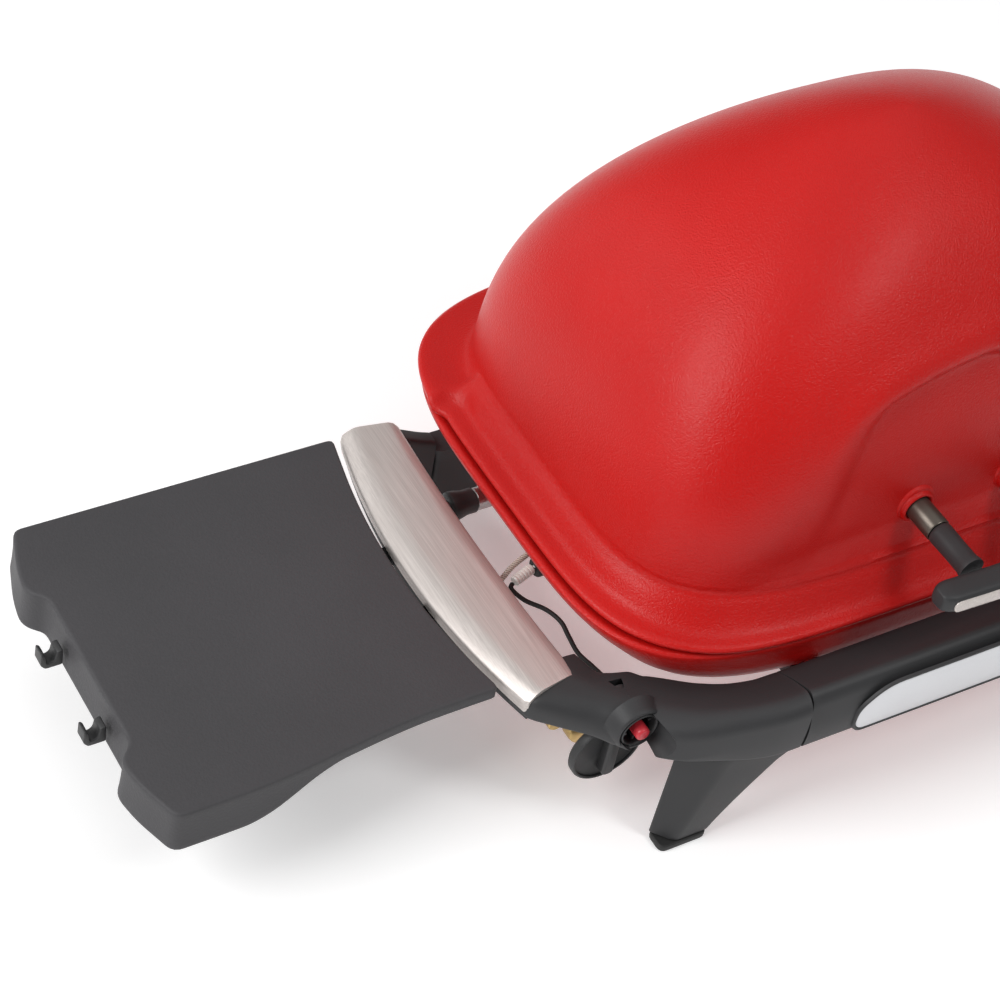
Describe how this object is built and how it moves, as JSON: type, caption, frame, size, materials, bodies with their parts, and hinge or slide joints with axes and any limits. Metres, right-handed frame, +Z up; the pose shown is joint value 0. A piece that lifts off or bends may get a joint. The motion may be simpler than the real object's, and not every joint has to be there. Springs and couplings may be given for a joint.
{
  "type": "gas barbecue grill",
  "caption": "Tabletop gas barbecue grill with a domed red lid on a dark moulded frame, blade legs, silver end handles, fold-up side tables, a burner control and a push igniter.",
  "frame": {"origin": "middle of the footprint of the whole grill with its side tables out, on the ground", "axes": "+X to the right seen from the front, +Y to the back, +Z up"},
  "size_m": [1.0532, 0.4052, 0.372],
  "materials": {
    "red_enamel": "satin red enamel with a fine grain",
    "frame_black": "fine matte grain",
    "table_grey": "fine pebbled matte grain",
    "trim_silver": "brushed warm silver lacquer",
    "plate_silver": "smooth satin",
    "steel": "brushed",
    "aluminium": "satin",
    "cast_iron": "black enamelled, slightly rough",
    "brass": "machined",
    "bronze": "dark satin",
    "rubber_black": "matte",
    "ceramic_white": "glazed ceramic",
    "button_red": "satin",
    "knob_black": "satin black",
    "braid": "woven glass-fibre sleeve"
  },
  "bodies": {
    "frame": {"cookbox": "red_enamel", "lid_hinge_pin_left": "steel", "lid_hinge_pin_right": "steel", "burner_tube": "steel", "burner_venturi": "frame_black", "gas_pipe": "aluminium", "gas_valve": "brass", "gas_inlet": "brass", "igniter_housing": "frame_black", "front_arm_left": "frame_black", "front_arm_right": "frame_black", "front_panel": "frame_black", "badge_plate": "plate_silver", "rear_arm_left": "frame_black", "rear_arm_right": "frame_black", "rear_rail": "frame_black", "cookbox_support_left": "frame_black", "cookbox_support_right": "frame_black", "front_leg_left": "frame_black", "front_leg_right": "frame_black", "rear_leg_left": "frame_black", "rear_leg_right": "frame_black", "front_foot_pad_left": "rubber_black", "front_foot_pad_right": "rubber_black", "rear_foot_pad_left": "rubber_black", "rear_foot_pad_right": "rubber_black", "handle_trim_left": "trim_silver", "handle_trim_right": "trim_silver", "handle_core_left": "frame_black", "handle_core_right": "frame_black", "table_pin_left_front": "steel", "table_pin_right_front": "steel", "table_pin_left_rear": "steel", "table_pin_right_rear": "steel", "lead_grommet": "rubber_black", "electrode_connector": "ceramic_white", "electrode": "steel", "igniter_lead": "rubber_black", "ground_lead": "braid", "tray_holder": "steel"},
    "lid": {"lid": "red_enamel", "handle_ferrule_left": "bronze", "handle_ferrule_right": "bronze", "handle_stem_left": "frame_black", "handle_stem_right": "frame_black", "lid_handle_bar": "frame_black", "lid_handle_insert": "trim_silver"},
    "table_left": {"side_table_left": "table_grey", "tool_hook_left_front": "knob_black", "tool_hook_left_rear": "knob_black"},
    "table_right": {"side_table_right": "table_grey", "tool_hook_right_front": "knob_black", "tool_hook_right_rear": "knob_black"},
    "knob": {"burner_control_knob": "knob_black", "valve_stem": "steel"},
    "igniter": {"igniter_button": "button_red"},
    "grate_left": {"cooking_grate_left": "cast_iron"},
    "grate_right": {"cooking_grate_right": "cast_iron"},
    "tray": {"grease_tray": "aluminium"}
  },
  "joints": [
    {"name": "lid_hinge", "type": "hinge", "parent": "frame", "child": "lid", "pos_m": [0, 0.19625, 0.128], "axis": [-1, 0, 0], "range_deg": [0, 85]},
    {"name": "side_table_left_fold", "type": "hinge", "parent": "frame", "child": "table_left", "pos_m": [-0.3105, 0.01125, 0.0945], "axis": [0, 1, 0], "range_deg": [0, 95]},
    {"name": "side_table_right_fold", "type": "hinge", "parent": "frame", "child": "table_right", "pos_m": [0.3105, 0.01125, 0.0945], "axis": [0, -1, 0], "range_deg": [0, 95]},
    {"name": "burner_knob_turn", "type": "hinge", "parent": "frame", "child": "knob", "pos_m": [-0.233, -0.11775, 0.0535], "axis": [0, -1, 0], "range_deg": [0, 150]},
    {"name": "igniter_press", "type": "slide", "parent": "frame", "child": "igniter", "axis": [0, 1, 0], "range_m": [0, 0.0035], "stiffness_N_per_m": 400, "springref_m": -0.003},
    {"name": "grate_left_lift", "type": "slide", "parent": "frame", "child": "grate_left", "axis": [0, 0, 1], "range_m": [0, 0.018]},
    {"name": "grate_right_lift", "type": "slide", "parent": "frame", "child": "grate_right", "axis": [0, 0, 1], "range_m": [0, 0.018]},
    {"name": "grease_tray_slide", "type": "slide", "parent": "frame", "child": "tray", "axis": [0, -1, 0], "range_m": [0, 0.12]}
  ]
}
